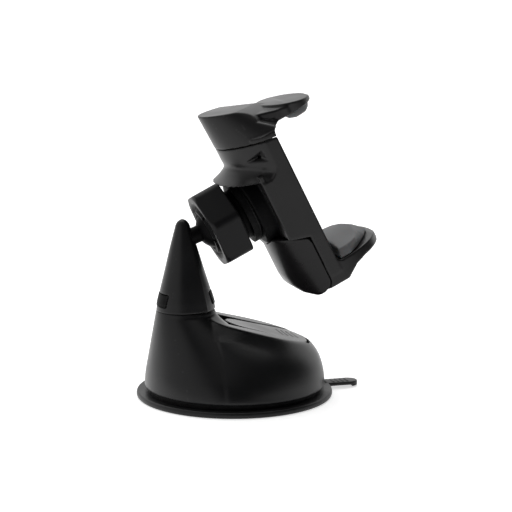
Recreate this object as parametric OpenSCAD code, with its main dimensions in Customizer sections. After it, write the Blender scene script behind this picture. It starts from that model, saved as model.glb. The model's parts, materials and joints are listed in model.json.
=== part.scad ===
// Suction-cup dashboard phone mount: rubber cup with lock lever, boot-shaped base with a
// removable cone, ball joint with hexagonal lock nut, and a spring-loaded cradle.
// Units mm. +Z up, +X towards the phone and the pull tab, origin at the centre of the
// suction cup's contact plane. The part is symmetric about the XZ plane but for the nut's turn.

/* [Suction cup] */
// Outside radius of the rubber flange
pad_r = 40; // [39:0.5:42]
// Thickness of the rubber flange
flange_t = 2.4; // [2:0.1:2.6]
// Distance from the centre to the end of the pull tab
tab_end = 52.8; // [48:0.2:58]
// Width of the pull tab
tab_w = 7.6; // [5:0.2:10]
// Radius of the moving middle of the cup
cup_core_r = 12; // [11:0.5:13]

/* [Base housing] */
// Outside radius of the housing at its rim
shell_r = 36.7; // [36.5:0.1:37.5]
// Height of the housing's rim above the contact plane
rim_z = 4.4; // [4.2:0.1:4.8]
// Wall thickness of the housing
wall = 2.2; // [1.8:0.1:2.6]
// Height of the sloping flat top above the cup's centre
top_z = 30; // [29.5:0.1:30.5]
// Slope of the flat top, falling towards the front, in degrees
top_slope = 15.5; // [15:0.1:16]
// Height of the seam between the housing and the cone cap
seam_z = 35; // [34.5:0.1:35.5]

/* [Cone cap] */
// Distance of the cone's axis behind the cup's centre
cone_x = -20.1; // [-20.6:0.1:-19.8]
// Rearward lean of the cone in degrees
cone_lean = 2; // [1:0.1:3]
// Wall thickness of the cone cap
cap_wall = 1.8; // [1.6:0.1:2]

/* [Ball joint] */
// Forward position of the ball centre
ball_x = -7.2; // [-7.6:0.1:-6.8]
// Height of the ball centre
ball_z = 69.6; // [69:0.1:70.5]
// Ball radius (17 mm ball)
ball_r = 8.5; // [8.3:0.1:8.6]
// Radius of the neck behind the ball
neck_r = 3.4; // [3:0.1:3.6]
// Rise of the neck towards the ball in degrees
neck_rise = 20; // [18:0.5:22]
// Running clearance between the ball and its socket
ball_gap = 0.06; // [0.04:0.01:0.1]

/* [Lock nut] */
// Across-flats size of the nut
nut_af = 30.2; // [29:0.2:31]
// Length of the nut
nut_len = 12; // [11:0.5:12]
// Turn of the nut about its axis in degrees
nut_turn = 15.6; // [0:0.2:30]

/* [Cradle] */
// Lean of the cradle back from upright in degrees
tilt = 26.8; // [22:0.2:30]
// Half width of the cradle
half_w = 20.5; // [20:0.1:21]
// Distance from the ball centre to the cradle's front edges
front_v = 34; // [33.5:0.1:34.5]
// Reach of the jaws from the ball centre
jaw_v = 56; // [54:0.5:58]
// Height of the seam under the sliding jaw, along the cradle
jaw_seam = 25.2; // [25:0.1:25.6]
// Thickness of the soft jaw pads
pad_t = 3.6; // [3:0.1:4]

/* [Hidden] */
$fn = 96;
SLIT = 0.3;                      // gap between neighbouring mouldings
FIT = 0.08;                      // radial clearance of running fits
BIG = 120;                       // larger than the part, for half-space cuts
INK = [0.07, 0.07, 0.08];
DARK = [0.13, 0.13, 0.14];
STEEL = [0.6, 0.6, 0.62];
SOFT = [0.55, 0.56, 0.57];
RUBBER = [0.1, 0.1, 0.1];
pin_x = 1.5;                     // lever pin position
pin_z = 22;
pin_r = 1.5;
deck_z = 14;                     // top of the inner deck that the lever's cam bears on
deck_t = 2;
washer_t = 0.8;
cam_r = 6.4;                     // radius of the lever's eccentric cam
cam_e = 1.75;                    // offset of the cam's centre from the pin
cam_turn = 35;                   // direction of that offset, from straight down
swing_r = 11.4;                  // room round the pin for the lever's heel
stem_r = 3.4;
core_z = 3.2;                    // underside of the pulled-up cup centre
plate_z = 5.6;                   // top of the stem's plate
hump_r = 22;                     // radius of the rear humps across the cradle
hump_v = 36;                     // centre of that radius
hump_rear = hump_v - hump_r;
crown_r = 60;                    // radius of the crowned lower end
top_u = 42.5;                    // rear height of the flat top of the jaw's cap
top_fall = 15;                   // fall of the top and of the hump's lip towards the front
seam_fall = 7;                   // fall of the seam under the sliding jaw
cap_v = 25.3;                    // centre and radius of the round flat on the jaw's cap
cap_r = 12;
arm_v = 43.6;                    // centre and radius of the jaw's tip
arm_r = 13;
lip_u = 14.1;                    // rear height of the upper hump's lower edge
foot_u = -42.8;                  // lowest point of the cradle
stud_back = 14.4;                // ball centre to the stud's root
screw_y = 7.5;                   // frame screws
screw_u = -27.5;
lower_face = -31.9;              // upper face of the lower jaw
upper_face = 28.8;               // lower face of the upper jaw
split_v = 28;                    // rear covers end here, the frame's strips begin
recess_v = 20;                   // rear face of the frame between the humps
skin = 2;                        // wall of the cradle mouldings
hump_low = -13;                  // rear height of the lower hump's upper edge
collet_r = 11.2;
collet_in = 9.6;                 // pocket for the ball liner
flange_v = 10.6;                 // rear face of the collet's swivel flange
flange_r = 13.2;
boss_v = 13.8;                   // rear face of the cradle's boss
boss_r = 16;
rod_y = 11.2;                    // guide rods of the sliding jaw
rod_r = 1.5;
rod_v = 26.5;
spring_y = 5;

// ---------- helpers ----------

// Places the cradle: local X = out of the cradle's face, local Z = along the cradle.
module in_cradle() {
  translate([ball_x, 0, ball_z]) rotate([0, -tilt, 0]) children();
}

// Cylinder along local X from a to b.
module bar_x(a, b, r) {
  translate([a, 0, 0]) rotate([0, 90, 0]) cylinder(h = b - a, r = r);
}

// Solid of revolution about local X from [radius, x] points.
module turned_x(points) {
  rotate([0, 90, 0]) rotate_extrude() polygon(points);
}

// Outline in the XZ plane carried across Y.
module across(half) {
  rotate([90, 0, 0]) linear_extrude(height = 2 * half, center = true) children();
}

module both_sides() {
  children();
  mirror([0, 1, 0]) children();
}

// Open coil spring standing on Z = 0, of square wire.
module coil(r, wire, length, turns) {
  span = 360 * wire * turns / length;
  linear_extrude(height = length, twist = -360 * turns, slices = 9 * turns, segments = 4)
    polygon(concat(
      [for (i = [0:6]) (r + wire / 2) * [cos(span * i / 6), sin(span * i / 6)]],
      [for (i = [6:-1:0]) (r - wire / 2) * [cos(span * i / 6), sin(span * i / 6)]]));
}

// Close-wound tension spring standing on Z = 0.
module close_coil(r, wire, length) {
  rotate_extrude() for (i = [0:floor(length / wire) - 1])
    translate([r - wire / 2, i * wire]) square([wire, wire * 0.8]);
  difference() {
    cylinder(h = length, r = r);
    translate([0, 0, -1]) cylinder(h = length + 2, r = r - wire / 2);
  }
}

// Pan-head screw pointing down from Z = 0, head above.
module screw(r, length, head_r, head_t) {
  difference() {
    union() {
      translate([0, 0, -length]) cylinder(h = length, r = r, $fn = 24);
      cylinder(h = head_t, r = head_r, $fn = 32);
    }
    for (a = [0, 90]) rotate([0, 0, a])
      translate([-head_r * 0.6, -0.3, head_t * 0.4]) cube([head_r * 1.2, 0.6, head_t]);
  }
}

// ---------- suction cup ----------

module suction_pad() color(RUBBER) {
  edge = flange_t / 2;
  difference() {
    union() {
      rotate_extrude() polygon([
        [29, 0], [pad_r - 0.8, 0], [pad_r - 0.15, 0.45], [pad_r, edge],
        [pad_r - 0.15, flange_t - 0.45], [pad_r - 0.8, flange_t], [31, flange_t],
        [28.5, 3.3], [cup_core_r + SLIT, plate_z - 0.6],
        [cup_core_r + SLIT, core_z + 0.4], [27, 1.5]]);
      translate([pad_r - 3, -tab_w / 2, 0.9]) cube([tab_end - pad_r + 3 - tab_w / 2, tab_w, 1.5]);
      translate([tab_end - tab_w / 2, 0, 0.9]) cylinder(h = 1.5, r = tab_w / 2);
      intersection() {
        translate([tab_end - tab_w / 2, 0, 0.4]) cylinder(h = 1, r = tab_w / 2);
        translate([tab_end - 3.4, -tab_w, 0]) cube([4, 2 * tab_w, 3]);
      }
    }
    for (i = [0:2])
      translate([pad_r + 2 + 2.2 * i, -tab_w / 2 + 1.4, flange_t - 0.3])
        cube([0.7, tab_w - 2.8, 1]);
  }
}

module pad_centre() color(RUBBER)
  difference() {
    translate([0, 0, core_z]) cylinder(h = plate_z - core_z - 0.6, r = cup_core_r);
    translate([0, 0, core_z + 0.9]) cylinder(h = 5, r = cup_core_r - 2.5);
  }

// The stem's eye carries the lever pin, so the lever's cam can lift the stem.
module pull_stem() color(STEEL)
  difference() {
    union() {
      translate([pin_x, 0, core_z + 0.95]) cylinder(h = plate_z - core_z - 0.95, r = cup_core_r - 4.2);
      translate([pin_x, 0, plate_z - 0.5]) cylinder(h = pin_z - plate_z, r = stem_r);
      translate([pin_x, 0, pin_z]) rotate([90, 0, 0]) cylinder(h = 5, r = 3.4, center = true);
    }
    translate([pin_x, 0, pin_z]) rotate([90, 0, 0]) cylinder(h = 20, r = pin_r + FIT, center = true);
    both_sides() translate([-BIG / 2, 2.5, plate_z + 1]) cube([BIG, 10, BIG]);
  }

module return_spring() color(STEEL)
  translate([pin_x, 0, plate_z + 0.4]) coil(5, 0.7, deck_z - deck_t - plate_z - 0.9, 3);

module skirt_ring() color(DARK)
  rotate_extrude() polygon([
    [31.2, flange_t + 0.02], [34.9, flange_t + 0.02], [34.9, rim_z - 0.02],
    [33.9, rim_z + 1.4], [32.8, rim_z + 1.4], [31.2, rim_z - 0.02]]);

// ---------- base housing ----------

// Dome of the front lobe, inset d from the outside.
module dome(d = 0) {
  rotate_extrude() polygon([
    [0, rim_z], [shell_r - d, rim_z], [shell_r - 0.1 - d, 8.3], [shell_r - 0.5 - d, 11],
    [35.5 - d, 14.2], [34.3 - d, 17.2 - d / 4], [32.6 - d, 20 - d / 2], [30.4 - d, 21.9 - d],
    [26.5, 23.6 - d], [20.2, 26.7 - d], [17.4, 28.4 - d], [15.4, 35 - d], [0, 40 - d]]);
}

// Frame lying on the sloping flat top.
module on_top() {
  translate([0, 0, top_z]) rotate([0, top_slope, 0]) children();
}

module below_top(d = 0) {
  on_top() translate([-BIG / 2, -BIG / 2, -BIG - d]) cube(BIG);
}

// Rear body that narrows from the rim up to the cone.
module rear_body(d = 0) {
  hull() {
    translate([0, 0, 8]) cylinder(h = 0.01, r = shell_r - 0.1 - d);
    on_cone() translate([0, 0, -SLIT - 0.01]) cylinder(h = 0.01, r = 12.3 - d);
  }
  translate([0, 0, rim_z]) cylinder(h = 3.8, r = shell_r - 0.1 - d);
}

// Cone above the seam, standing on its own leaning axis.
module on_cone() {
  translate([cone_x, 0, seam_z]) rotate([0, -cone_lean, 0]) children();
}

module cone_solid(d = 0) {
  rotate_extrude() polygon([
    [0, 0], [12.3 - d, 0], [11.2 - d, 5.5], [8.2 - d, 16.5], [5.7 - d, 25.8],
    [3.4 - d * 0.9, 33.6], [2.6 - d * 0.9, 36], [1.5 - d * 0.6, 37.6 - d], [0, 38.2 - d]]);
}

// Flat outline of the lever seen square to the top.
module lever_outline(grow = 0) {
  intersection() {
    union() {
      translate([5, 0]) circle(r = 8.5 + grow);
      polygon([[5, -8.5 - grow], [23, -12 - grow], [36, -12 - grow], [36, 12 + grow],
        [23, 12 + grow], [5, 8.5 + grow]]);
    }
    translate([11, 0]) circle(r = 20.2 + grow * 3);
  }
}

// Room for the lever and for its heel's swing about the pin.
module lever_pocket() {
  on_top() translate([0, 0, -4.6]) linear_extrude(height = 20) lever_outline(0.6);
  intersection() {
    translate([pin_x, 0, pin_z]) rotate([90, 0, 0]) cylinder(h = 20.6, r = swing_r, center = true);
    translate([-BIG / 2, -BIG / 2, deck_z]) cube(BIG);
  }
}

module base_housing() color(INK)
  difference() {
    union() {
      difference() {
        union() {
          intersection() {
            dome();
            below_top();
          }
          rear_body();
        }
        difference() {
          union() {
            intersection() {
              dome(wall);
              below_top(wall + 4.6);
            }
            rear_body(wall);
          }
          for (a = [60, 180, 300]) rotate([0, 0, a])
            translate([26, 0, rim_z + 3]) cylinder(h = 40, r = 3);
        }
        translate([0, 0, rim_z - 0.1]) cylinder(h = 2.2, r = 34.95);
      }
      on_cone() translate([0, 0, -2.5]) difference() {
        cylinder(h = 13.5, r1 = 10.6, r2 = 7.55);
        translate([0, 0, -0.1]) cylinder(h = 14, r1 = 8.9, r2 = 5.9);
      }
    }
    lever_pocket();
    translate([0, 0, rim_z - 1]) cylinder(h = deck_z - rim_z + 1 + 0.02, r = 28.2);
    for (a = [60, 180, 300]) rotate([0, 0, a])
      translate([26, 0, 0]) cylinder(h = 22, r = 1.1, $fn = 24);
    for (s = [-1, 1]) on_cone() translate([0, 0, 6.3]) button_slot(s);
    both_sides() rotate([0, 0, 27]) translate([shell_r - 1.2, 0, 6.6])
      rotate([0, 90, 0]) cylinder(h = 4, r = 0.6, $fn = 24);
  }

// Inner deck with the guide for the stem.
module deck_plate() color(DARK)
  difference() {
    union() {
      translate([0, 0, deck_z - deck_t]) cylinder(h = deck_t - 0.05, r = 28);
      translate([pin_x, 0, deck_z - deck_t - 2.4]) cylinder(h = 3, r = 7.6);
      for (a = [0:60:300]) rotate([0, 0, a + 30])
        translate([8.6, -0.8, deck_z - deck_t - 2.4]) cube([18.4, 1.6, 3]);
    }
    translate([pin_x, 0, 0]) cylinder(h = 40, r = stem_r + FIT);
    translate([pin_x, 0, deck_z - deck_t - 3]) cylinder(h = 3.05, r = 6);
    for (a = [60, 180, 300]) rotate([0, 0, a]) translate([26, 0, 0])
      cylinder(h = 40, r = 1.3, $fn = 24);
    translate([pin_x, 0, deck_z - washer_t]) cylinder(h = 2, r = 7.2);
  }

module base_screws() color(STEEL)
  for (a = [60, 180, 300]) rotate([0, 0, a])
    translate([26, 0, deck_z - deck_t - 0.05]) mirror([0, 0, 1]) screw(1.05, 6.5, 2.2, 1.4);

module cam_washer() color(STEEL)
  translate([pin_x, 0, deck_z - washer_t + 0.02]) difference() {
    cylinder(h = washer_t - 0.04, r = 7.1);
    translate([0, 0, -1]) cylinder(h = 4, r = stem_r + 0.25);
  }

// ---------- lever ----------

module lock_lever() color(INK)
  difference() {
    union() {
      intersection() {
        on_top() translate([0, 0, -3.8]) linear_extrude(height = 3.4) lever_outline();
        dome(0.05);
      }
      both_sides() intersection() {
        union() {
          translate([pin_x + cam_e * sin(cam_turn), 3, pin_z - cam_e * cos(cam_turn)])
            rotate([-90, 0, 0]) cylinder(h = 4, r = cam_r);
          translate([pin_x - 3.6, 3, pin_z]) cube([12, 4, 10]);
        }
        below_top(1.6);
        translate([pin_x, 0, pin_z]) rotate([90, 0, 0]) cylinder(h = 30, r = swing_r - 0.5, center = true);
      }
    }
    translate([pin_x, 0, pin_z]) rotate([90, 0, 0]) cylinder(h = 30, r = pin_r + FIT, center = true);
    on_top() for (i = [0:3]) translate([20.5 + 2 * i, -5, -0.8]) cube([0.8, 10, 1]);
  }

module lever_pin() color(STEEL)
  translate([pin_x, 0, pin_z]) rotate([90, 0, 0]) cylinder(h = 14.4, r = pin_r, center = true);

// ---------- cone cap and ball stud ----------

module button_slot(side, play = 0.2) {
  high = 4.7 + 2 * play;
  wide = 12.2 + 2 * play;
  translate([side > 0 ? 2.9 : -14.9, -wide / 2, -high / 2]) cube([12, wide, high]);
}

// Line of the neck, from the ball centre back into the cone.
module on_neck() {
  translate([ball_x, 0, ball_z]) rotate([0, -neck_rise, 0]) children();
}

module cone_cap() color(INK)
  difference() {
    on_cone() cone_solid();
    on_cone() intersection() {
      translate([0, 0, -1]) cylinder(h = 21.5, r1 = 12.5 - cap_wall, r2 = 12.5 - cap_wall);
      translate([0, 0, -0.01]) cone_solid(cap_wall);
    }
    for (s = [-1, 1]) on_cone() translate([0, 0, 6.3]) button_slot(s);
    on_neck() bar_x(-stud_back, 0, neck_r + 0.03);
    on_cone() translate([0, 0, 18]) cylinder(h = 14.6, r = 1.65, $fn = 32);
    on_cone() translate([0, 0, 19]) cylinder(h = 2.8, r = 3.3, $fn = 32);
  }

module ball_stud() color(DARK)
  difference() {
    union() {
      translate([ball_x, 0, ball_z]) sphere(r = ball_r);
      on_neck() bar_x(-stud_back, -4, neck_r);
    }
    on_cone() translate([0, 0, 22]) cylinder(h = 10.5, r = 1.2, $fn = 32);
    on_neck() bar_x(ball_r - 1.2, 20, 3.5);
  }

module stud_screw() color(STEEL)
  on_cone() translate([0, 0, 21.75]) mirror([0, 0, 1]) screw(1.15, 10, 2.9, 1.6);

// Snap button in the spigot, its face following the cone.
module release_button(side) {
  on_cone() {
    intersection() {
      cone_solid(-0.25);
      translate([0, 0, 6.3]) button_slot(side, 0);
      translate([side > 0 ? 5.2 : -25.2, -BIG / 2, 0]) cube([20, BIG, 40]);
    }
    intersection() {
      translate([side * 5.2 - 0.75, -3.2, 2.9]) cube([1.5, 6.4, 6.8]);
      cylinder(h = 20, r = 6.1);
    }
  }
}

module release_button_rear() color(DARK) release_button(-1);

module release_button_front() color(DARK) release_button(1);

module button_spring() color(STEEL)
  on_cone() translate([-4.3, 0, 6.3]) rotate([0, 90, 0]) coil(1.8, 0.5, 8.6, 5);

// ---------- ball joint ----------

module ball_liner() color(DARK)
  in_cradle() intersection() {
    difference() {
      sphere(r = collet_in - 0.05);
      sphere(r = ball_r + ball_gap);
    }
    translate([4.8, -BIG / 2, -BIG / 2]) cube(BIG);
  }

module collet() color(DARK)
  in_cradle() difference() {
    turned_x([[0, -4], [7.4, -4], [8.1, -5], [9.4, -5], [10.6, -3.6], [collet_r, -1.6], [collet_r, 8.6],
      [10.6, 9], [10.6, flange_v], [flange_r, flange_v], [flange_r, 13.2], [10.07, 13.2],
      [10.07, recess_v + skin + 0.03], [0, recess_v + skin + 0.03]]);
    intersection() {
      sphere(r = ball_r + ball_gap);
      translate([-BIG, -BIG / 2, -BIG / 2]) cube([BIG, BIG, BIG]);
    }
    intersection() {
      sphere(r = collet_in);
      translate([0, -BIG / 2, -BIG / 2]) cube([BIG, BIG, BIG]);
    }
    for (a = [45:90:315]) rotate([a, 0, 0]) translate([0, 0, 6.6]) bar_x(17, 30, 0.85);
    for (a = [15, 75, 135]) rotate([a, 0, 0])
      translate([-6, -12, -0.7]) cube([8.5, 24, 1.4]);
  }

module lock_nut() color(INK)
  in_cradle() rotate([nut_turn, 0, 0]) difference() {
    intersection() {
      translate([-4.5, 0, 0]) rotate([0, 90, 0]) cylinder(h = nut_len, r = nut_af / sqrt(3), $fn = 6);
      turned_x([[0, -4.5], [15.6, -4.5], [16.9, -3.2], [16.9, nut_len - 5.8],
        [15.6, nut_len - 4.5], [0, nut_len - 4.5]]);
    }
    bar_x(-6, nut_len, collet_r + FIT);
    turned_x([[0, -4.6], [12.6, -4.6], [collet_r + FIT, -3], [0, -3]]);
  }

module friction_washer() color(RUBBER)
  in_cradle() difference() {
    bar_x(13.22, boss_v - 0.02, 12.6);
    bar_x(10, 20, 10.1);
  }

// ---------- cradle ----------

// Crowned limit of the cradle's lower end.
module crown_foot() {
  translate([0, 0, foot_u + crown_r]) rotate([0, 90, 0])
    translate([0, 0, -40]) cylinder(h = 140, r = crown_r);
}

// Everything below a plane that falls forwards from height u at the humps' rear.
module under(u, fall) {
  translate([hump_rear, 0, u]) rotate([0, fall, 0])
    translate([-BIG / 2, -BIG / 2, -BIG]) cube(BIG);
}

// Rear height of the seam plane.
function seam_rear() = jaw_seam + (front_v - hump_rear) * tan(seam_fall);

// Plan limit of the jaws: rounded front edge.
module jaw_plan(d = 0) {
  translate([30, 0, -BIG / 2]) cylinder(h = BIG, r = jaw_v - 30 - d);
  translate([-20, -half_w + d, -BIG / 2]) cube([56, 2 * (half_w - d), BIG]);
}

// Hump cross-section, inset d, from height u0 to u1 and forward to v1.
module hump(u0, u1, d = 0, v1 = split_v) {
  intersection() {
    translate([hump_v, 0, u0]) cylinder(h = u1 - u0, r = hump_r - d);
    translate([0, -half_w + d, u0]) cube([v1, 2 * (half_w - d), u1 - u0]);
  }
}

// Side view limit of the lower end, with its rounded rear corner.
module foot_side(d = 0) {
  across(half_w + 1) {
    difference() {
      translate([0, foot_u + 12]) square([80, 60]);
      translate([-10, 30]) square([100, 60]);
    }
    translate([hump_rear + 12, foot_u + 12]) circle(r = 12 - d);
    translate([hump_rear + 12, foot_u + d]) square([60, 30]);
  }
}

// Upper hump with its outward-flaring finger lip, hollow inside.
module upper_hump() {
  difference() {
    intersection() {
      union() {
        hump(6, 32, 0, split_v + 2);
        translate([27.5, 0, 10.5]) rotate([0, top_fall, 0]) rotate_extrude() polygon([
          [0, -0.5], [19.2, -0.5], [19.6, 0.5], [19.3, 1.6], [17.8, 3.6], [15.8, 6], [14.4, 9],
          [13.4, 13], [0, 13]]);
      }
      under(seam_rear() - SLIT, seam_fall);
      translate([0, -half_w, 0]) cube([split_v + 2, 2 * half_w, 40]);
    }
    under(lip_u, top_fall);
    difference() {
      hump(0, 40, skin, split_v + 6);
      under(lip_u + skin, top_fall);
    }
    translate([recess_v + skin, -13.2, 0]) cube([20, 26.4, 40]);
    both_sides() translate([22.6, 21.9, 21.2]) sphere(r = 3);
  }
}

module cradle_frame() color(INK)
  in_cradle() difference() {
    union() {
      upper_hump();
      intersection() {
        both_sides() translate([0, half_w - 1.5, 0]) across(1.5) polygon([
          [recess_v, 13.5], [recess_v, hump_low - 1.5], [split_v + 0.2, hump_low - 4.2],
          [split_v + 0.2, lower_face - 4], [front_v, lower_face - 4], [front_v, 40],
          [split_v, 40], [split_v, 13.5]]);
        under(seam_rear() - SLIT, seam_fall);
      }
      translate([recess_v, -half_w, hump_low - 1]) cube([skin, 2 * half_w, 28]);
      translate([recess_v, -11.5, lower_face]) cube([skin, 23, jaw_seam - 0.6 - lower_face]);
      intersection() {
        jaw_plan();
        crown_foot();
        across(half_w) polygon([[split_v + 0.2, lower_face - 3], [front_v, lower_face - 3],
          [front_v, lower_face + 2.2], [front_v + 0.5, lower_face + 0.8],
          [front_v + 1.8, lower_face], [jaw_v - 2, lower_face],
          [jaw_v + 1, lower_face - 1.2], [jaw_v + 0.6, -35.4], [50.5, -36.6], [46, -36.9],
          [41, -37.8], [36.3, -40.4], [33, -44], [22.4, -44], [22.4, -42.1], [24.5, -41.4],
          [26.7, -39.9], [27.9, -38.1], [split_v + 0.2, -36]]);
      }
      bar_x(boss_v, recess_v + skin, boss_r);
      for (s = [-1, 1]) {
        translate([recess_v + skin - 0.1, s * 12.8 - 3.9, -4]) cube([8.7, 7.8, 16]);
        translate([recess_v + 0.5, s * screw_y, screw_u]) bar_x(0, 10.1, 2.2);
      }
      translate([recess_v + skin - 0.1, -9, lower_face - 3.4]) cube([6.4, 18, 4]);
    }
    bar_x(0, 40, 10.15);
    bar_x(recess_v + skin, recess_v + skin + 1.9, 13.3);
    for (s = [-1, 1]) {
      translate([rod_v, s * rod_y, -6]) cylinder(h = 20, r = rod_r + FIT, $fn = 32);
      translate([0, s * screw_y, screw_u]) bar_x(recess_v - 1, 36, 1.1);
    }
  }

// Shell closing the lower end of the cradle's back.
module lower_rear_cover() color(INK)
  in_cradle() difference() {
    intersection() {
      hump(foot_u, 0);
      foot_side();
      crown_foot();
      under(hump_low, 16.7);
      across(half_w + 1) polygon([[0, -60], [22.2, -60], [22.2, -41.6], [24.2, -41],
        [26.4, -39.6], [27.6, -37.9], [split_v, -36], [split_v, -19.6], [27.5, -18],
        [26.4, -16.6], [26.4, 0], [0, 0]]);
    }
    intersection() {
      hump(foot_u + 3, 0, skin);
      translate([0, 0, skin]) foot_side(skin);
      under(hump_low - skin, 16.7);
    }
    translate([recess_v - 0.15, -14, lower_face - 3.6]) cube([20, 28, 40]);
    translate([recess_v - 0.15, -half_w - 1, hump_low - 1.2]) cube([skin + 0.3, 2 * half_w + 2, 10]);
    bar_x(boss_v - 1, recess_v + skin + 0.2, boss_r + 0.15);
  }

// Disc in front of the back plate that lets the collet turn but not come out.
module swivel_retainer() color(STEEL)
  in_cradle() difference() {
    bar_x(recess_v + skin + 0.05, recess_v + skin + 1.15, 13);
    for (a = [45:90:315]) rotate([a, 0, 0]) translate([0, 0, 6.6]) bar_x(10, 30, 1.05);
  }

module retainer_screws() color(STEEL)
  in_cradle() for (a = [45:90:315]) rotate([a, 0, 0])
    translate([recess_v + skin + 1.18, 0, 6.6]) rotate([0, 90, 0]) screw(0.8, 5, 1.5, 0.4);

module face_plate() color(DARK)
  in_cradle() difference() {
    translate([31, -half_w + 3.2, lower_face - 0.4])
      cube([2.2, 2 * half_w - 6.4, jaw_seam - 0.6 - lower_face]);
    for (s = [-1, 1]) translate([0, s * screw_y, screw_u]) bar_x(30, 32.4, 1);
    translate([32.6, -14.2, -24.2]) cube([2, 28.4, 44.4]);
  }

module face_pad() color(RUBBER)
  in_cradle() translate([32.62, 0, -2]) difference() {
    intersection() {
      translate([0, -14, -22]) cube([1.3, 28, 44]);
      rotate([0, 90, 0]) cylinder(h = 2, r = 25);
    }
    for (i = [-4:4]) translate([0.9, -10, i * 4.4 - 0.6]) cube([1, 20, 1.2]);
  }

module frame_screws() color(STEEL)
  in_cradle() for (s = [-1, 1])
    translate([recess_v - 0.02, s * screw_y, screw_u]) rotate([0, -90, 0])
      screw(0.95, 12.2, 1.9, 1.2);

// Sliding jaw: rear cap with a round flat top, arm, and the tail that runs inside the frame.
module upper_jaw() color(INK)
  in_cradle() difference() {
    union() {
      intersection() {
        hull() {
          translate([hump_v, 0, 21.4]) cylinder(h = 0.01, r = hump_r);
          translate([cap_v, 0, 43]) cylinder(h = 0.01, r = cap_r);
        }
        translate([0, -half_w, 20]) cube([front_v, 2 * half_w, 40]);
        under(top_u, top_fall);
      }
      intersection() {
        union() {
          translate([arm_v, 0, 0]) cylinder(h = 60, r = arm_r);
          translate([20, -10.5, 0]) cube([arm_v - 20, 21, 60]);
        }
        under(top_u - 1.1, top_fall);
        across(half_w) polygon([[22, 27], [front_v - 0.3, 27], [front_v + 0.3, upper_face - 1.2],
          [front_v + 1.8, upper_face], [jaw_v + 2, upper_face], [jaw_v + 2, 60], [22, 60]]);
      }
      translate([24, -8.6, -12]) cube([5, 17.2, 42]);
    }
    difference() {
      under(seam_rear(), seam_fall);
      translate([24, -8.6, -BIG]) cube([5, 17.2, 2 * BIG]);
    }
    for (s = [-1, 1]) {
      translate([22, s * spring_y - 2.6, -14]) cube([8, 5.2, 34]);
      translate([rod_v, s * rod_y, 20]) cylinder(h = 13, r = rod_r + 0.03, $fn = 32);
    }
  }

module guide_rods() color(STEEL)
  in_cradle() for (s = [-1, 1]) translate([rod_v, s * rod_y, -24]) cylinder(h = 56.8, r = rod_r);

module jaw_springs() color(STEEL)
  in_cradle() for (s = [-1, 1]) translate([rod_v, s * spring_y, -23]) close_coil(1.9, 0.7, 42);

module spring_posts() color(STEEL)
  in_cradle() for (s = [-1, 1]) translate([recess_v + skin + 0.05, s * spring_y, -24.6])
    bar_x(0, 8.8, 1.2);

// Side view of a soft pad that stands dir * pad_t off a jaw's face, from v0 to v1.
module pad_side(face, dir, v0, v1) {
  across(half_w - 1.6) polygon([[v0, face], [v1, face], [v1 + 0.2, face + dir * 1.4],
    [v1 - 1, face + dir * 2.6], [v1 - 3, face + dir * pad_t], [v0 + 2, face + dir * pad_t],
    [v0, face + dir * (pad_t - 1.4)]]);
}

module upper_jaw_pad() color(SOFT)
  in_cradle() intersection() {
    translate([arm_v, 0, 20]) cylinder(h = 20, r = arm_r - 0.8);
    pad_side(upper_face - 0.02, -1, front_v + 5, jaw_v - 1.2);
  }

module lower_jaw_pad() color(SOFT)
  in_cradle() intersection() {
    jaw_plan(1.5);
    pad_side(lower_face + 0.02, 1, front_v + 3, jaw_v - 1.8);
  }

suction_pad();
pad_centre();
pull_stem();
return_spring();
skirt_ring();
base_housing();
deck_plate();
base_screws();
cam_washer();
lock_lever();
lever_pin();
cone_cap();
ball_stud();
stud_screw();
release_button_rear();
release_button_front();
button_spring();
ball_liner();
collet();
lock_nut();
friction_washer();
swivel_retainer();
retainer_screws();
cradle_frame();
lower_rear_cover();
face_plate();
face_pad();
frame_screws();
upper_jaw();
guide_rods();
jaw_springs();
spring_posts();
upper_jaw_pad();
lower_jaw_pad();
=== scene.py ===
import json
import math

import bmesh
import bpy
import numpy as np
from mathutils import Matrix, Vector


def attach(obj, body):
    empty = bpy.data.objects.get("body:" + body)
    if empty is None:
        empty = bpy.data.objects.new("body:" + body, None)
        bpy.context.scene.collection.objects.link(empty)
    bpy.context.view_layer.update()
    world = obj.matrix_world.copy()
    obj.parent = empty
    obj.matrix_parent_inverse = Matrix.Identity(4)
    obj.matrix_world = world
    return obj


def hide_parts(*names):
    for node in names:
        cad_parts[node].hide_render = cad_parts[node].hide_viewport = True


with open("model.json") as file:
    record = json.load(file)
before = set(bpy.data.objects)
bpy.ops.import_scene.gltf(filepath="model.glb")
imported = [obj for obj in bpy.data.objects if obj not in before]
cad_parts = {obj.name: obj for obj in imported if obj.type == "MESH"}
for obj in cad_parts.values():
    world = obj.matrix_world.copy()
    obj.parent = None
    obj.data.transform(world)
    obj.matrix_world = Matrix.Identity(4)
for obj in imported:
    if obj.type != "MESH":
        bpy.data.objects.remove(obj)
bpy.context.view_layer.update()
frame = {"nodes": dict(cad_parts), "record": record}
nodes = frame["nodes"]
MM = 0.001

# ---------------------------------------------------------------- measures (mm) and frames

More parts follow.
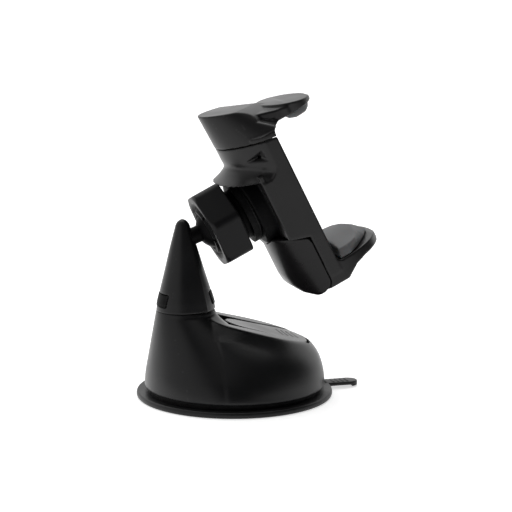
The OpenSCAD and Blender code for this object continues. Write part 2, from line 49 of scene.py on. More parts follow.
CONE_X, SEAM_Z = -20.1, 35       # axis of the rear cone, and the seam under its cap
CONE_LEAN = math.radians(2)
CONE_R = 12.3                    # radius of the cone at the seam
CONE_CORNER = 57                 # degrees from the front at which the cone's round back ends
TOP_Z = 30                       # height of the sloping top over the base's centre
TOP_SLOPE = math.radians(15.5)
PIN_X, PIN_Z, PIN_R = 1.5, 22, 1.6
WALL = 2.2                       # wall of the base
SKIN = 2                         # wall of the cradle's mouldings
HALF_W = 20.5                    # half the cradle's width
HUMP_V, HUMP_R = 36, 22          # centre and radius of the rear humps across the cradle
ROD_V, ROD_Y, ROD_R = 26.5, 11.2, 1.6
BALL = Vector((-7.2, 0, 69.6)) * MM
TILT = math.radians(26.8)
NUT_TURN = 15.6                  # degrees of the nut's flats from level
SEAM = (29.37, 0.1228)           # plane of the seam under the sliding jaw: height at v = 0, fall
LIP = (17.0, 0.268)              # plane of the upper hump's lower edge
LEDGE = (29.3, 0.516)            # crease above the flare, on the sides

CRADLE = Matrix.Translation(BALL) @ Matrix.Rotation(-TILT, 4, "Y")
CONE = Matrix.Translation(Vector((CONE_X, 0, SEAM_Z)) * MM) @ Matrix.Rotation(-CONE_LEAN, 4, "Y")
WORLD = Matrix.Identity(4)


# ---------------------------------------------------------------- mesh helpers

def new_object(name, data):
    obj = bpy.data.objects.new(name, data)
    bpy.context.scene.collection.objects.link(obj)
    return obj


def from_lists(name, verts, faces):
    """Mesh object from millimetre points and faces, normals made consistent."""
    mesh = bpy.data.meshes.new(name)
    mesh.from_pydata([tuple(MM * c for c in v) for v in verts], [], faces)
    bm = bmesh.new()
    bm.from_mesh(mesh)
    bmesh.ops.remove_doubles(bm, verts=bm.verts, dist=1e-7)
    bmesh.ops.recalc_face_normals(bm, faces=bm.faces)
    bm.to_mesh(mesh)
    bm.free()
    return new_object(name, mesh)


def loft(name, rings):
    """Closed solid through rings of equal point count, capped at both ends."""
    n = len(rings[0])
    verts = [p for ring in rings for p in ring]
    faces = [(i * n + j, i * n + (j + 1) % n, (i + 1) * n + (j + 1) % n, (i + 1) * n + j)
             for i in range(len(rings) - 1) for j in range(n)]
    faces.append(tuple(range(n)))
    faces.append(tuple(range((len(rings) - 1) * n, len(rings) * n)))
    return from_lists(name, verts, faces)


def lathe(name, profile, steps):
    """Ring about Z from a closed profile of (radius, z) points."""
    verts, faces, m = [], [], len(profile)
    for k in range(steps):
        a = 2 * math.pi * k / steps
        verts += [(r * math.cos(a), r * math.sin(a), z) for r, z in profile]
    for k in range(steps):
        o, p = k * m, ((k + 1) % steps) * m
        for i in range(m):
            j = (i + 1) % m
            faces.append((o + i, p + i, p + j, o + j))
    return from_lists(name, verts, faces)


def rounded(points, radius, steps=6):
    """Rounds the corners of a closed 2D outline; radius is one number or one per corner."""
    out, n = [], len(points)
    for i, p in enumerate(points):
        r = radius[i] if hasattr(radius, "__len__") else radius
        p, a, b = Vector(p), Vector(points[i - 1]), Vector(points[(i + 1) % n])
        u, v = (a - p), (b - p)
        reach = min(r, u.length * 0.48, v.length * 0.48)
        s, e = p + u.normalized() * reach, p + v.normalized() * reach
        for k in range(steps + 1):
            t = k / steps
            q = s * (1 - t) ** 2 + p * (2 * t * (1 - t)) + e * t ** 2
            out.append(tuple(q))
    return out


def prism(name, outline, low, high):
    """Outline in the XY plane carried from z = low to z = high."""
    return loft(name, [[(x, y, z) for x, y in outline] for z in (low, high)])


def place(obj, matrix):
    obj.data.transform(matrix)
    return obj


def apply_modifiers(obj):
    bpy.context.view_layer.update()
    graph = bpy.context.evaluated_depsgraph_get()
    mesh = bpy.data.meshes.new_from_object(obj.evaluated_get(graph))
    obj.modifiers.clear()
    old = obj.data
    obj.data = mesh
    bpy.data.meshes.remove(old)


def drop(*objs):
    for o in objs:
        bpy.data.objects.remove(o)


def cut_away(obj, others):
    """Cuts each of the others out of obj, and removes them."""
    for o in others:
        m = obj.modifiers.new("cut", "BOOLEAN")
        m.operation = "DIFFERENCE"
        m.solver = "EXACT"
        m.object = o
        apply_modifiers(obj)
    drop(*others)


def join(name, objs):
    bm = bmesh.new()
    for o in objs:
        bm.from_mesh(o.data)
    mesh = bpy.data.meshes.new(name)
    bm.to_mesh(mesh)
    bm.free()
    drop(*objs)
    return new_object(name, mesh)


def smooth_shaded(obj):
    for p in obj.data.polygons:
        p.use_smooth = True


def moulded(obj, voxel, smooth):
    """Turns a hard solid into one skin with softly rounded edges, like a moulding."""
    m = obj.modifiers.new("skin", "REMESH")
    m.mode = "VOXEL"
    m.voxel_size = voxel * MM
    m.use_smooth_shade = True
    apply_modifiers(obj)
    m = obj.modifiers.new("round", "SMOOTH")
    m.factor = 0.5
    m.iterations = smooth
    apply_modifiers(obj)
    smooth_shaded(obj)


def finish_piece(obj, body, material, node):
    """Gives a piece its material in one slot and its body, and hides the CAD node that it stands for."""
    obj.data.materials.clear()
    obj.data.materials.append(material)
    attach(obj, body)
    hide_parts(node)
    return obj


# ---------------------------------------------------------------- field helpers
# A field is a signed distance, roughly, in millimetres: negative inside the solid.

def smin(a, b, k):
    """Smaller of two fields, blended over k where they meet."""
    h = np.clip(0.5 + 0.5 * (b - a) / k, 0, 1)
    return b * (1 - h) + a * h - k * h * (1 - h)


def smax(a, b, k):
    return -smin(-a, -b, k)


def step_up(x, low, high):
    """Smooth step from 0 at low to 1 at high."""
    t = np.clip((x - low) / (high - low), 0, 1)
    return t * t * (3 - 2 * t)


def outline_distance(points, p, q):
    """Signed distance to a closed outline, negative inside."""
    best, inside = np.inf, False
    for (x0, y0), (x1, y1) in zip(points, points[1:] + points[:1]):
        ex, ey = x1 - x0, y1 - y0
        wx, wy = p - x0, q - y0
        t = np.clip((wx * ex + wy * ey) / (ex * ex + ey * ey), 0, 1)
        best = np.minimum(best, (wx - ex * t) ** 2 + (wy - ey * t) ** 2)
        crosses = ((y0 <= q) != (y1 <= q)) & (wx < ex * wy / (ey if ey else 1e-9))
        inside = inside ^ crosses
    return np.where(inside, -1, 1) * np.sqrt(best)


def skin(name, field, low, high, step, matrix):
    """Smooth skin of the solid where the field is negative, in the matrix's millimetres."""
    axes = [np.arange(lo - 2 * step, hi + 2.5 * step, step) for lo, hi in zip(low, high)]
    d = np.ascontiguousarray(field(*np.meshgrid(*axes, indexing="ij", sparse=True)))
    inside = d < 0
    shape = tuple(n - 1 for n in d.shape)
    total, count = np.zeros(shape + (3,)), np.zeros(shape)
    for axis in range(3):
        o1, o2 = [a for a in range(3) if a != axis]
        for i in (0, 1):
            for j in (0, 1):
                start = [0, 0, 0]
                start[o1], start[o2] = i, j
                end = list(start)
                end[axis] = 1
                a = tuple(slice(o, o + n) for o, n in zip(start, shape))
                b = tuple(slice(o, o + n) for o, n in zip(end, shape))
                cross = inside[a] != inside[b]
                t = d[a] / np.where(cross, d[a] - d[b], 1)
                p = np.zeros(shape + (3,))
                p[..., o1], p[..., o2], p[..., axis] = i, j, t
                total += np.where(cross[..., None], p, 0)
                count += cross
    used = count > 0
    index = np.full(shape, -1)
    index[used] = np.arange(used.sum())
    corner = np.array([a[0] for a in axes])
    verts = corner + step * (np.argwhere(used) + total[used] / count[used][:, None])
    faces = []
    for axis in range(3):
        o1, o2 = [a for a in range(3) if a != axis]
        lo = [slice(1, n - 1) for n in d.shape]
        hi = list(lo)
        lo[axis] = slice(0, d.shape[axis] - 1)
        hi[axis] = slice(1, d.shape[axis])
        at = np.argwhere(inside[tuple(lo)] != inside[tuple(hi)])
        at[:, o1] += 1
        at[:, o2] += 1
        quad = []
        for di, dj in ((-1, -1), (0, -1), (0, 0), (-1, 0)):
            c = at.copy()
            c[:, o1] += di
            c[:, o2] += dj
            quad.append(index[tuple(c.T)])
        faces.append(np.stack(quad, 1))
    obj = from_lists(name, verts.tolist(), np.concatenate(faces).tolist())
    smooth_shaded(obj)
    return place(obj, matrix)


# ---------------------------------------------------------------- materials

def plastic(name, colour, rough, grain, grain_size=0.35, edge=0.012, coat=0.0, mottle=0.2, spec=0.28):
    """Moulded plastic: fine grain bump, slow gloss variation and rubbed, lighter edges."""
    mat = bpy.data.materials.new(name)
    mat.use_nodes = True
    tree = mat.node_tree
    bsdf = tree.nodes["Principled BSDF"]
    bsdf.inputs["Specular IOR Level"].default_value = spec
    bsdf.inputs["Coat Weight"].default_value = coat
    bsdf.inputs["Coat Roughness"].default_value = 0.12
    coords = tree.nodes.new("ShaderNodeTexCoord")

    def noise(size_mm, detail):
        n = tree.nodes.new("ShaderNodeTexNoise")
        n.inputs["Scale"].default_value = 1000 / size_mm
        n.inputs["Detail"].default_value = detail
        tree.links.new(coords.outputs["Object"], n.inputs["Vector"])
        return n

    broad = noise(22, 3)
    ramp = tree.nodes.new("ShaderNodeMapRange")
    ramp.inputs["From Min"].default_value = 0.3
    ramp.inputs["From Max"].default_value = 0.7
    ramp.inputs["To Min"].default_value = rough * (1 - mottle)
    ramp.inputs["To Max"].default_value = rough * (1 + mottle)
    tree.links.new(broad.outputs["Fac"], ramp.inputs["Value"])
    tree.links.new(ramp.outputs["Result"], bsdf.inputs["Roughness"])

    geometry = tree.nodes.new("ShaderNodeNewGeometry")
    worn = tree.nodes.new("ShaderNodeMapRange")
    worn.inputs["From Min"].default_value = 0.53
    worn.inputs["From Max"].default_value = 0.62
    tree.links.new(geometry.outputs["Pointiness"], worn.inputs["Value"])
    speck = noise(3.2, 4)
    scale = tree.nodes.new("ShaderNodeMath")
    scale.operation = "MULTIPLY"
    tree.links.new(worn.outputs["Result"], scale.inputs[0])
    tree.links.new(speck.outputs["Fac"], scale.inputs[1])
    mix = tree.nodes.new("ShaderNodeMix")
    mix.data_type = "RGBA"
    mix.inputs["A"].default_value = (*colour, 1)
    mix.inputs["B"].default_value = (*[c + edge for c in colour], 1)
    tree.links.new(scale.outputs["Value"], mix.inputs["Factor"])
    tree.links.new(mix.outputs["Result"], bsdf.inputs["Base Color"])

    fine = noise(grain_size, 2)
    bump = tree.nodes.new("ShaderNodeBump")
    bump.inputs["Strength"].default_value = grain
    bump.inputs["Distance"].default_value = 0.02 * MM
    tree.links.new(fine.outputs["Fac"], bump.inputs["Height"])
    tree.links.new(bump.outputs["Normal"], bsdf.inputs["Normal"])
    return mat


def metal(name, colour, rough):
    mat = plastic(name, colour, rough, grain=0.15, grain_size=0.2, edge=0.1, mottle=0.4)
    mat.node_tree.nodes["Principled BSDF"].inputs["Metallic"].default_value = 1.0
    return mat


SHELL = plastic("housing_plastic", (0.0055, 0.0055, 0.006), 0.34, grain=0.2, grain_size=0.3)
SATIN = plastic("satin_plastic", (0.0075, 0.0072, 0.0075), 0.32, grain=0.15, grain_size=0.3)
GLOSS = plastic("gloss_plastic", (0.0055, 0.005, 0.0055), 0.27, grain=0.04, coat=0.05, spec=0.2)
INNER = plastic("inner_plastic", (0.001, 0.001, 0.0012), 0.5, grain=0.3, spec=0.07)
# Painted shade: the housing plastic made darker for the nut, so that its upper facets stay dark under the
# top light
SHADED_NUT_PLASTIC = plastic("nut_plastic_painted_shade", (0.0035, 0.0035, 0.004), 0.42, grain=0.25, spec=0.16)
RUBBER = plastic("cup_rubber", (0.007, 0.007, 0.0074), 0.42, grain=0.12, grain_size=0.5, edge=0.01)
RIBBED = plastic("face_rubber", (0.012, 0.012, 0.0125), 0.7, grain=0.5, grain_size=0.4)
PAD = plastic("soft_pad", (0.12, 0.122, 0.125), 0.5, grain=0.25, grain_size=0.6, edge=0.05)
PAD.node_tree.nodes["Principled BSDF"].inputs["Subsurface Weight"].default_value = 0.15
PAD.node_tree.nodes["Principled BSDF"].inputs["Subsurface Scale"].default_value = 0.002
STEEL = metal("plated_steel", (0.42, 0.42, 0.43), 0.3)

BY_SLOT = {"housing": SHELL, "gloss_housing": GLOSS, "inner_plastic": INNER,
           "rubber": RUBBER, "soft_pad": PAD, "steel": STEEL}
slots = {s["node"]: s["material_slot"] for s in frame["record"]["subparts"]}
for name, obj in nodes.items():
    obj.data.materials.clear()
    obj.data.materials.append(BY_SLOT[slots[name]])
nodes["face_pad"].data.materials[0] = RIBBED


# ---------------------------------------------------------------- suction cup

def cup():
    """Rubber disc with its flange, and the ribbed pull tab with a lip under its end."""
    profile = rounded([
        (28.6, 0.0), (39.6, 0.0), (40.0, 1.2), (39.6, 2.4), (35.6, 2.4), (31.0, 2.6),
        (28.0, 3.4), (12.3, 5.0), (12.3, 3.6), (27.0, 1.5)],
        [0.6, 0.9, 0.8, 0.9, 0.5, 0.8, 1.5, 0.3, 0.3, 1.5])
    disc = lathe("cup_disc", profile, 240)
    width = 7.6
    half = [(38.0, -width / 2), (45.0, -width / 2 + 0.15)]
    tip = [(52.8 - width / 2 + width / 2 * math.sin(a), -width / 2 * math.cos(a))
           for a in np.linspace(0, math.pi, 21)]
    outline = half + tip + [(45.0, width / 2 - 0.15), (38.0, width / 2)]
    inner = [(39 + (x - 39) * 0.985, y * 0.9) for x, y in outline]
    levels = [(inner, 0.95), (outline, 1.25), (outline, 2.05), (inner, 2.4)]
    tab = loft("cup_tab", [[(x, y, z) for x, y in ring] for ring, z in levels])
    ribs = []
    for i in range(4):
        x = 41.6 + 2.0 * i
        ring = rounded([(x, -2.6), (x + 0.9, -2.6), (x + 0.9, 2.6), (x, 2.6)], 0.4)
        ribs.append(prism(f"rib{i}", ring, 2.3, 2.62))
    lip = prism("cup_lip", [(x, y) for x, y in outline if x > 49.2], 0.42, 1.3)
    obj = join("cup_rubber_skin", [disc, tab, lip] + ribs)
    smooth_shaded(obj)
    edges = obj.modifiers.new("edges", "BEVEL")
    edges.width = 0.12 * MM
    edges.segments = 2
    edges.limit_method = "ANGLE"
    edges.angle_limit = math.radians(35)
    apply_modifiers(obj)
    return finish_piece(obj, "base", RUBBER, "suction_pad")


# ---------------------------------------------------------------- base

def smooth_curve(x, xs, ys):
    """Smooth curve through points: averages of the straight one over a short span."""
    return sum(np.interp(x + o, xs, ys) * w for o, w in
               ((-2.4, 0.1), (-1.6, 0.15), (-0.8, 0.16), (0, 0.18), (0.8, 0.16), (1.6, 0.15), (2.4, 0.1)))


def lever_plan(p, q, grow):
    """Distance to the lever's fan-shaped outline, square to the sloping top."""
    heel = np.hypot(p - 5, q) - 8.5 - grow
    fan = np.maximum(np.abs(q) - 8.5 - grow - np.clip(p - 5, 0, 18) * 3.5 / 18, 5 - p)
    return np.maximum(np.minimum(heel, fan), np.hypot(p - 11, q) - 20.2 - 3 * grow)


def top_frame(x, z):
    """Distance along the sloping top and height above it."""
    c, s = math.cos(TOP_SLOPE), math.sin(TOP_SLOPE)
    return x * c - (z - TOP_Z) * s, x * s + (z - TOP_Z) * c


def body_field(x, y, z):
    """Boot-shaped outside of the base: rear cone, front lobe and the flat sloping top."""
    side = np.abs(y)
    t = smin(np.clip((34.7 - z) / 26.7, -0.1, 1.2), 1.0, 0.16)
    r = CONE_R + np.where(t > 0, 24.3 * t, 6.5 * t)
    xc = CONE_X * (1 - np.maximum(t, 0))
    cone = (np.hypot(x - xc, y) - r) * 0.78
    cone = smax(cone, x + 7.8 - 40 * np.clip(t - 0.2, 0, 1), 2.0)
    corner = np.radians(CONE_CORNER + 33 * np.clip(t / 0.3, 0, 1) + 24 * np.maximum(t - 0.3, 0) / 0.7)
    cx, cy = xc + r * np.cos(corner), r * np.sin(corner)
    bearing, limit = np.arctan2(side, x), np.arctan2(cy, cx)
    w = step_up(bearing, limit - 0.8, limit)
    dome = smooth_curve(z, [0, 4.4, 8.3, 11, 14.2, 17.2, 20, 22.6, 25, 27.3, 29.4, 36],
                        [36.8, 36.75, 36.6, 36.2, 35.4, 34.2, 32.3, 29.8, 26.2, 22.0, 18.0, 13.5])
    lobe = (np.hypot(x, y) - dome * (1 - w) - np.hypot(cx, cy) * w) * 0.85
    lobe = smax(lobe, top_frame(x, z)[1], 0.9)
    lobe = smax(lobe, -14 - x, 3.0)
    k = 0.5 + 3.0 * step_up(x, -15, -9) * step_up(z, 27, 31)
    return smax(smin(cone, lobe, k), z - 36.3, 0.25)


def base_field(x, y, z):
    """The housing: hollow, with the lever's pocket, room for its cam, and small vents in front."""
    body = body_field(x, y, z)
    p, h = top_frame(x, z)
    outside = smax(body, 4.42 - z, 0.5)
    hollow = np.maximum(body + WALL, h + 6.8)
    pocket = np.maximum(lever_plan(p, y, 0.35), -4.4 - h)
    swing = np.maximum(np.maximum(np.hypot(x - PIN_X, z - PIN_Z) - 11.4, np.abs(y) - 10.3), 14 - z)
    skirt = np.maximum(np.hypot(x, y) - 34.95, z - 6.5)
    turn = math.radians(27)
    along = x * math.cos(turn) + np.abs(y) * math.sin(turn)
    across = np.abs(y) * math.cos(turn) - x * math.sin(turn)
    vent = np.maximum(np.hypot(across, z - 6.9) - 0.7, 34.6 - along)
    cut = np.minimum(np.minimum(hollow, pocket), np.minimum(np.minimum(swing, skirt), vent))
    return smax(outside, -cut, 0.15)


def base_shell():
    obj = skin("base_shell", base_field, (-37, -37.2, 4.2), (37, 37.2, 36.5), 0.42, WORLD)
    return finish_piece(obj, "base", SHELL, "base_housing")


def lever_field(x, y, z):
    """Lever plate with grip grooves, and the two cam ears on the pin below it."""
    p, h = top_frame(x, z)
    plate = smax(smax(lever_plan(p, y, -0.02), h + 0.12, 0.35), -3.7 - h, 0.3)
    plate = smax(plate, body_field(x, y, z) + 0.1, 0.3)
    groove = np.abs((p + 1) % 2.2 - 1.1) - 0.35
    groove = np.maximum(np.maximum(groove, np.abs(y) - 5), np.maximum(19.2 - p, p - 27.6))
    plate = np.maximum(plate, -np.maximum(groove, -0.5 - h))
    turn = math.radians(35)
    cam = np.hypot(x - PIN_X - 1.75 * math.sin(turn), z - PIN_Z + 1.75 * math.cos(turn)) - 6.4
    web = np.maximum(np.abs(x - 3.9) - 6, np.abs(z - 27) - 5)
    ear = np.maximum(np.maximum(np.minimum(cam, web), np.abs(np.abs(y) - 5) - 2), h + 1.6)
    from_pin = np.hypot(x - PIN_X, z - PIN_Z)
    ear = np.maximum(ear, from_pin - 10.9)
    return np.maximum(np.minimum(plate, ear), PIN_R - from_pin)


def cone_ring(z, r):
    """Round at the back, flatter in front of the corners."""
    corner = math.radians(CONE_CORNER)
    ring, steps = [], 160
    for k in range(steps):
        a = 2 * math.pi * k / steps
        a = a - 2 * math.pi if a > math.pi else a
        cx, cy = r * math.cos(corner), r * math.sin(corner)
        if abs(a) >= corner:
            bulge = 0.035 * r * math.exp(-((abs(a) - corner) / 0.25) ** 2)
            ring.append(((r + bulge) * math.cos(a), (r + bulge) * math.sin(a), z))
        else:
            ring.append((r - (r - cx) * (a / corner) ** 2, cy * a / corner * 1.035, z))
    return ring


def cone_radius(z):
    zs = [0, 5.5, 11, 16.5, 21.2, 25.8, 29.8, 33.6, 36, 37.3, 38.1]
    rs = [CONE_R, 11.2, 9.8, 8.25, 7.0, 5.75, 4.6, 3.45, 2.75, 1.9, 0.5]
    return float(np.interp(z, zs, rs))


def cone_cap():
    levels = [1.62] + list(np.linspace(2, 35, 34)) + [36, 36.6, 37.1, 37.5, 37.8, 38.0, 38.1]
    cone = loft("cone_skin", [cone_ring(z, cone_radius(z)) for z in levels])
    half, middle, rise = 6.3, 6.3, 2.55        # windows of the two snap buttons
    windows = [prism("window", [(s * 8, -half), (s * 20, -half), (s * 20, half), (s * 8, half)],
                     middle - rise, middle + rise) for s in (-1, 1)]
    cut_away(cone, windows)
    moulded(cone, 0.3, 3)
    place(cone, CONE)
    return finish_piece(cone, "base", SHELL, "cone_cap")


def lever():
    obj = skin("lever_skin", lever_field, (-9, -13, 14), (36, 13, 33), 0.3, WORLD)
    return finish_piece(obj, "lever", SATIN, "lock_lever")


# ---------------------------------------------------------------- cradle

# Fields in the cradle's frame: v out of its face, y across, u along, from the ball's centre.

def below(plane, v, u):
    """Distance above a plane that falls forwards."""
    return (u - plane[0] + plane[1] * v) / math.hypot(1, plane[1])


def hump_section(v, y):
    return smax(np.hypot(v - HUMP_V, y) - HUMP_R, np.abs(y) - HALF_W, 0.8)


def upper_hump(v, y, u):
    """Upper rear hump with its flared lip, ledge and the two triangular dimples."""
    side = np.abs(y)
    section = hump_section(v, y)
    power = 2.9
    lip = ((np.abs(v - 27.5) / 20.1) ** power + (side / HALF_W) ** power) ** (1 / power) * 20 - 20
    rise = below(LIP, v, u)
    t = np.clip(rise / np.maximum(LEDGE[0] - LEDGE[1] * v - LIP[0] + LIP[1] * v, 2), 0, 1)
    flare = lip * (1 - t) ** 2 + (section + 0.7) * (1 - (1 - t) ** 2)
    outer = flare + (section - flare) * step_up(t, 0.4, 1.0)
    edge_low = (u - (26.1 - 0.31 * v)) * 0.95
    edge_rear = ((v - 19.3) * 0.42 - (u - 20.4)) * 0.9
    edge_front = ((27.3 - v) * 6.4 - (u - 17.0)) * 0.155
    pit = np.clip(smin(smin(edge_low, edge_rear, 0.5), edge_front, 0.5), 0, 2)
    outer = outer + 1.15 * pit * (side > 10)
    corner = smax(-rise, v - 29, 1.0)
    body = smax(smax(outer, below(SEAM, v, u) + 0.3, 0.25), corner, 0.3)
    hollow = smax(section + SKIN, SKIN - rise, 0.5)
    room = np.maximum(np.maximum(22 - v, side - 13.2), -u)
    return np.maximum(body, -np.minimum(hollow, room))


def frame_field(v, y, u):
    """Side strips, back plate, boss, lower jaw and upper hump, with the guides inside."""
    side = np.abs(y)
    strip = outline_distance([(20, 11.2), (20, -14.5), (28.2, -17.2), (28.2, -36), (34, -36),
                              (34, 40), (28, 40), (28, 14.5), (26.8, 12.4), (24.5, 11.0)], v, u)
    strip = smax(smax(strip, side - HALF_W, 0.5), 19 - side, 0.1)
    strip = smax(strip, below(SEAM, v, u) + 0.3, 0.25)
    back = np.maximum(np.abs(v - 21) - 1, np.maximum(side - 20.3, np.abs(u) - 14))
    spine = np.maximum(np.abs(v - 21) - 1, np.maximum(side - 11.5, np.abs(u + 3.6) - 28.2))
    boss = smax(np.hypot(y, u) - 16, np.abs(v - 17.9) - 4.1, 0.4)
    power = 2.5
    reach = (np.maximum(v - 28, 0) / 28.4) ** power + (side / HALF_W) ** power
    plan = smax((reach ** (1 / power) - 1) * 22, side - HALF_W, 0.4)
    profile = outline_distance([
        (28.2, -30), (34, -30), (34.3, -30.7), (35.0, -31.6), (36.3, -32), (54, -32), (57, -33.1),
        (56.6, -35.4), (50.5, -35.8), (46, -35.9), (41, -36.9), (36.3, -39.6), (33, -44),
        (22.4, -44), (22.4, -42.1), (24.5, -41.4), (26.7, -39.9), (27.9, -38.1), (28.2, -36)], v, u)
    jaw = smax(profile, plan, 0.45)
    jaw = smax(jaw, np.hypot(y, u - 37.2) - 80, 0.7)
    guide = np.maximum(np.maximum(np.abs(v - 26.3) - 4.4, np.abs(side - 12.8) - 3.9), np.abs(u - 4) - 8)
    guide = np.maximum(guide, ROD_R - np.hypot(v - ROD_V, side - ROD_Y))
    post = np.maximum(np.hypot(side - 7.5, u + 27.5) - 2.2, np.abs(v - 25.5) - 5)
    block = np.maximum(np.maximum(np.abs(v - 25) - 3.2, side - 9), np.abs(u + 33.3) - 2)
    body = smin(strip, jaw, 0.2)
    for part in (upper_hump(v, y, u), back, spine, boss, guide, post, block):
        body = np.minimum(body, part)
    bore = np.minimum(np.hypot(y, u) - 10.2,
                      np.maximum(np.hypot(y, u) - 13.3, np.abs(v - 22.95) - 0.95))
    return np.maximum(body, -bore)


def lower_hump_field(v, y, u):
    """Glossy lower rear cover, cut back where it meets the frame."""
    section = hump_section(v, y)
    rear = outline_distance([(14, -5), (14, -30.8), (15.2, -35.4), (17.6, -39), (21.4, -41.6),
                             (26, -42.8), (60, -42.8), (60, -5)], v, u)
    front = outline_distance([(0, 10), (26.6, 10), (26.6, -16.4), (27.5, -18), (28, -19.6),
                              (28, -36), (27.6, -37.9), (26.4, -39.6), (24.2, -41), (22.2, -41.6),
                              (22.2, -60), (0, -60)], v, u)
    rim = (u + 8.8 + 0.3 * v) / math.hypot(1, 0.3)
    outer = smax(smax(section, rear, 1.5), np.hypot(y, u - 87.2) - 130, 0.6)
    chamfer = (outer + rim + 0.6) * 0.707
    body = np.maximum(smax(smax(outer, rim, 0.3), chamfer, 0.3), front)
    hollow = np.maximum(np.maximum(section, rear), rim) + SKIN
    hollow = np.maximum(hollow, -39.8 - u)
    room = np.maximum(np.maximum(19.85 - v, np.abs(y) - 14), -35.5 - u)
    shelf = np.maximum(np.abs(v - 22.2) - 2.35, -14.3 - u)
    bore = np.hypot(y, u) - 16.2
    cut = np.minimum(np.minimum(hollow, room), np.minimum(shelf, bore))
    return np.maximum(body, -cut)


def jaw_field(v, y, u):
    """Sliding jaw: round rear cap, scooped where the arm with its oval end leaves it."""
    side = np.abs(y)
    fall, norm = 0.27, 1.036         # slope of the jaw's top, and the length of its normal
    cap_top = (u - 46.3 + fall * v) / norm
    arm_top = (u - 45.2 + fall * v) / norm
    t = np.clip((u - 25) / 14.5, -0.3, 1.3)
    cone = (np.hypot(v - HUMP_V + 10.7 * t, y) - HUMP_R + 10 * t) * 0.85
    cone = smax(cone, side - HALF_W, 0.8)
    depth = np.maximum(-cap_top, 0)
    scoop = 0.724 * (v - 26) + 0.69 * (side - 11)
    scoop = scoop - 7.0 * (1 - np.exp(-depth / 1.7)) - 2.0 * np.maximum(depth - 5, 0)
    cap = smax(smax(cone, cap_top, 0.3), scoop * 0.8, 0.35)
    shrink = 1 - 0.006 * np.clip(-arm_top, 0, 12)
    arm = (np.sqrt(((v - 47) / (10 * shrink)) ** 2 + (y / (13 * shrink)) ** 2) - 1) * 10
    arm = smax(arm, arm_top, 0.35)
    neck = side - 13.0 - 7.5 * np.clip((30.5 - u) / 3, 0, 1) * np.clip((38 - v) / 4, 0, 1)
    neck = smax(smax(neck * 0.85, arm_top + 0.6 + 0.02 * side ** 1.5, 0.6), 24 - v, 0.5)
    neck = np.maximum(neck, hump_section(np.minimum(v, HUMP_V), y))
    neck = smax(neck, v - 44, 1.0)
    notch = smax(34 - v, u - 28.4, 2.8)
    body = smax(smin(smin(neck, arm, 2.2), cap, 0.3), -notch, 0.3)
    body = smax(body, v - 56.7, 0.5)
    body = smax(body, -below(SEAM, v, u), 0.25)
    tail = np.maximum(np.maximum(np.abs(v - ROD_V) - 2.5, side - 8.6), np.abs(u - 9) - 21)
    body = np.minimum(body, tail)
    slot = np.maximum(np.maximum(np.abs(side - 5) - 2.6, u - 20), np.abs(v - ROD_V) - 4)
    bore = np.maximum(np.hypot(v - ROD_V, side - ROD_Y) - ROD_R, u - 33)
    return np.maximum(body, -np.minimum(slot, bore))


def upper_pad_field(v, y, u):
    plan = np.hypot(v - 43.6, y) - 12.2
    low = outline_distance([(42.6, 28.78), (54.9, 28.78), (55.2, 27.4), (54, 26.3), (51.5, 25.5),
                            (46.5, 25.8), (43.6, 26.9)], v, u)
    return smax(plan, low, 1.0)


def lower_pad_field(v, y, u):
    side = np.abs(y)
    base = outline_distance([(35.9, 18.9), (40.8, 18.6), (44.7, 15.5), (51, 7.9), (54, 1.6),
                             (54, -1.6), (51, -7.9), (44.7, -15.5), (40.8, -18.6), (35.9, -18.9)], v, y)
    top = outline_distance([(37, 17.6), (42.5, 17.4), (45.6, 15.6), (47.9, 10), (50, 0),
                            (47.9, -10), (45.6, -15.6), (42.5, -17.4), (37, -17.6)], v, y)
    t = np.clip((u + 31) / 3.9, 0, 1)
    plan = base * (1 - t) + top * t
    crown = u + 27.0 + 0.004 * side ** 2
    return np.maximum(smax(plan, crown, 0.7), -31.96 - u)


def darken_boss(obj):
    """The boss and the back plate between the humps have the matt finish of the inner parts."""
    obj.data.materials.append(INNER)
    back = CRADLE.inverted()
    for p in obj.data.polygons:
        q = (back @ p.center) / MM
        if q.x < 19.8 and -14 < q.z < 12 and math.hypot(q.y, q.z) < 17:
            p.material_index = 1


def cradle_skins():
    def make(name, field, low, high, step, body, material, node):
        return finish_piece(skin(name, field, low, high, step, CRADLE), body, material, node)

    darken_boss(make("frame_skin", frame_field, (7, -20.6, -43), (56.8, 20.6, 28.5), 0.4,
                     "cradle", SATIN, "cradle_frame"))
    make("lower_hump_skin", lower_hump_field, (13.8, -20.6, -43), (28.2, 20.6, -12), 0.34,
         "cradle", GLOSS, "lower_rear_cover")
    make("jaw_skin", jaw_field, (13, -20.6, -12), (57, 20.6, 43.5), 0.38,
         "jaw", SATIN, "upper_jaw")
    make("upper_pad_skin", upper_pad_field, (38, -13, 24.5), (56, 13, 29), 0.35,
         "jaw", PAD, "upper_jaw_pad")
    make("lower_pad_skin", lower_pad_field, (35, -19.5, -32), (55, 19.5, -27), 0.35,
         "cradle", PAD, "lower_jaw_pad")


def nut_field(v, y, u):
    """Hexagon with rounded corners and chamfered ends, open towards the ball."""
    half_flats, end_r, bore_r = 15.1, 16.9, 11.29
    flats = []
    for k in range(3):
        a = math.radians(NUT_TURN + 60 * k)
        flats.append(np.abs(y * math.cos(a) + u * math.sin(a)) - half_flats)
    hexagon = smax(smax(flats[0], flats[1], 1.8), flats[2], 1.8)
    outside = smax(hexagon, np.abs(v - 1.5) - 6, 0.7)
    round_end = np.hypot(y, u) - end_r + np.clip(-3.2 - v, 0, 2)
    mouth = np.maximum(np.hypot(y, u) - 12.7 + 0.95 * np.clip(v + 4.5, 0, 1.5), v)
    outside = smax(outside, round_end, 0.5)
    return smax(outside, -np.minimum(mouth, np.hypot(y, u) - bore_r), 0.25)


def nut_skin():
    obj = skin("nut_skin", nut_field, (-4.6, -17.5, -17.5), (7.6, 17.5, 17.5), 0.3, CRADLE)
    return finish_piece(obj, "nut", SHADED_NUT_PLASTIC, "lock_nut")


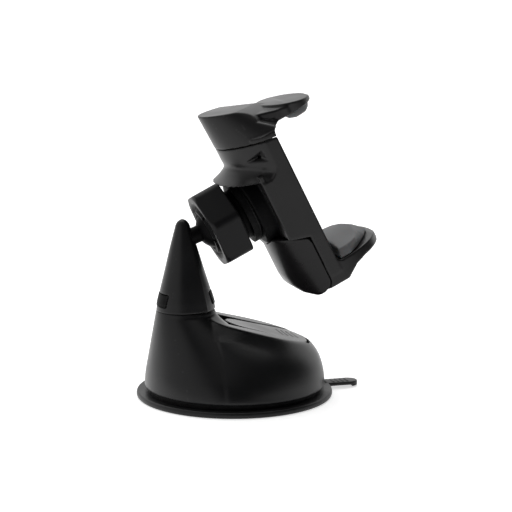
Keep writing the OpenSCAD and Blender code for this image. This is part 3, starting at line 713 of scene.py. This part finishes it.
cup()
base_shell()
cone_cap()
lever()
nut_skin()
cradle_skins()
for obj in nodes.values():
    smooth_shaded(obj)
    obj.data.set_sharp_from_angle(angle=math.radians(32))

# ---------------------------------------------------------------- stage, light, camera

reach = 12000                    # half the floor's side, in mm
floor = from_lists("floor", [(-reach, -reach, 0), (reach, -reach, 0), (reach, reach, 0),
                             (-reach, reach, 0)], [(0, 1, 2, 3)])
paper = bpy.data.materials.new("paper")
paper.use_nodes = True
sheet = paper.node_tree.nodes["Principled BSDF"].inputs
sheet["Base Color"].default_value = (0.95, 0.95, 0.95, 1)
sheet["Roughness"].default_value = 0.9
sheet["Emission Color"].default_value = (1, 1, 1, 1)
sheet["Emission Strength"].default_value = 0.6
floor.data.materials.append(paper)
floor.location.z = -0.0001

world = bpy.data.worlds.new("studio")
bpy.context.scene.world = world
world.use_nodes = True
sky = world.node_tree
sky.nodes["Background"].inputs["Color"].default_value = (1, 1, 1, 1)
toward = sky.nodes.new("ShaderNodeTexCoord")
axes = sky.nodes.new("ShaderNodeSeparateXYZ")
sky.links.new(toward.outputs["Generated"], axes.inputs["Vector"])


def ramp(source, low, high, start, end):
    """Smooth change from start to end while the source goes from low to high."""
    node = sky.nodes.new("ShaderNodeMapRange")
    node.interpolation_type = "SMOOTHSTEP"
    node.inputs["From Min"].default_value, node.inputs["From Max"].default_value = low, high
    node.inputs["To Min"].default_value, node.inputs["To Max"].default_value = start, end
    sky.links.new(source, node.inputs["Value"])
    return node.outputs["Result"]


def brighter(a, b):
    node = sky.nodes.new("ShaderNodeMath")
    node.operation = "MAXIMUM"
    sky.links.new(a, node.inputs[0])
    sky.links.new(b, node.inputs[1])
    return node.outputs["Value"]


overhead = ramp(axes.outputs["Z"], 0.75, 0.95, 0.0, 0.6)
behind = ramp(axes.outputs["Y"], 0.25, 0.55, 0.03, 1.08)
left = ramp(axes.outputs["X"], -0.75, -0.35, 0.75, 0.0)
sky.links.new(brighter(brighter(overhead, behind), left), sky.nodes["Background"].inputs["Strength"])


def softbox(name, where, target, size, power):
    light = bpy.data.lights.new(name, "AREA")
    light.shape = "RECTANGLE"
    light.size, light.size_y = size
    light.energy = power
    obj = new_object(name, light)
    obj.location = where
    obj.rotation_euler = (Vector(target) - Vector(where)).to_track_quat("-Z", "Y").to_euler()


softbox("top_light", (0.1, 0.5, 1.2), (0, 0, 0.05), (1.2, 1.2), 6.0)
softbox("right_light", (0.8, 0.25, 0.35), (0.02, 0, 0.07), (0.3, 0.6), 0.6)

# The camera was fitted to the photograph: focal length against the picture's width, then
# degrees down and to the left.
focal, width = 1764.55, 512
down, aside = 10.26, -16.04
camera = bpy.data.cameras.new("camera")
camera.sensor_width = 36
camera.lens = focal * camera.sensor_width / width
camera.clip_start = 0.01
eye = new_object("camera", camera)
eye.location = (-0.18494, -0.67513, 0.18374)
eye.rotation_euler = (math.radians(90 - down), 0, math.radians(aside))
bpy.context.scene.camera = eye
bpy.context.scene.view_settings.view_transform = "Standard"


bpy.context.view_layer.update()
